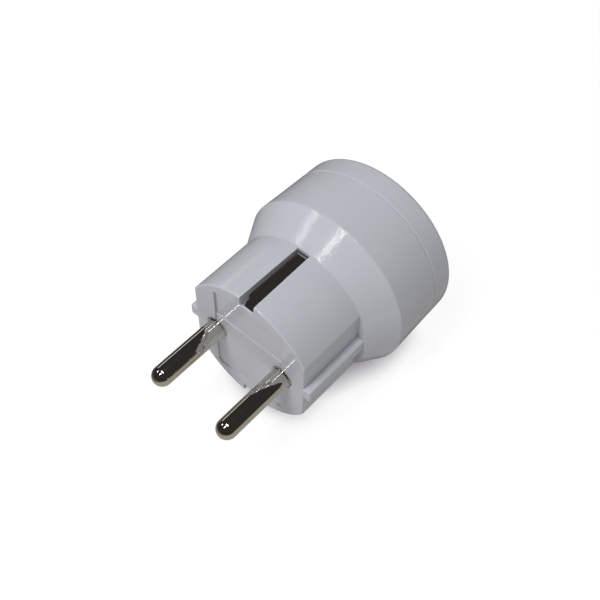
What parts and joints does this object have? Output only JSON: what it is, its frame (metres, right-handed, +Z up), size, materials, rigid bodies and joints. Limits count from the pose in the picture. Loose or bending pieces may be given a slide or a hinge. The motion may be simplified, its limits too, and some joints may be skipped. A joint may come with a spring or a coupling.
{
  "type": "plug adapter",
  "caption": "Round moulded plug adapter: side-earth two-pin plug in front, flared head with an in-line three-hole socket face behind.",
  "frame": {"origin": "in the plug's face, halfway between the pins, on the axis of the round body", "axes": "+X from the left pin to the right pin, +Y from the plug's face to the socket face, +Z up towards one earth channel; as plugged into a wall socket"},
  "size_m": [0.0448, 0.0637, 0.0448],
  "materials": {
    "housing_plastic": "light grey moulded plastic, satin on the body and glossy on the plug's face",
    "nickel_plate": "bright nickel plate",
    "contact_brass": "bare rolled brass"
  },
  "bodies": {
    "root": {"plug_housing": "housing_plastic", "socket_cover": "housing_plastic", "pin_right": "nickel_plate", "pin_left": "nickel_plate", "earth_yoke": "nickel_plate", "line_contact_right": "contact_brass", "line_contact_left": "contact_brass", "earth_contact": "contact_brass", "earth_rivet": "contact_brass"}
  },
  "joints": []
}
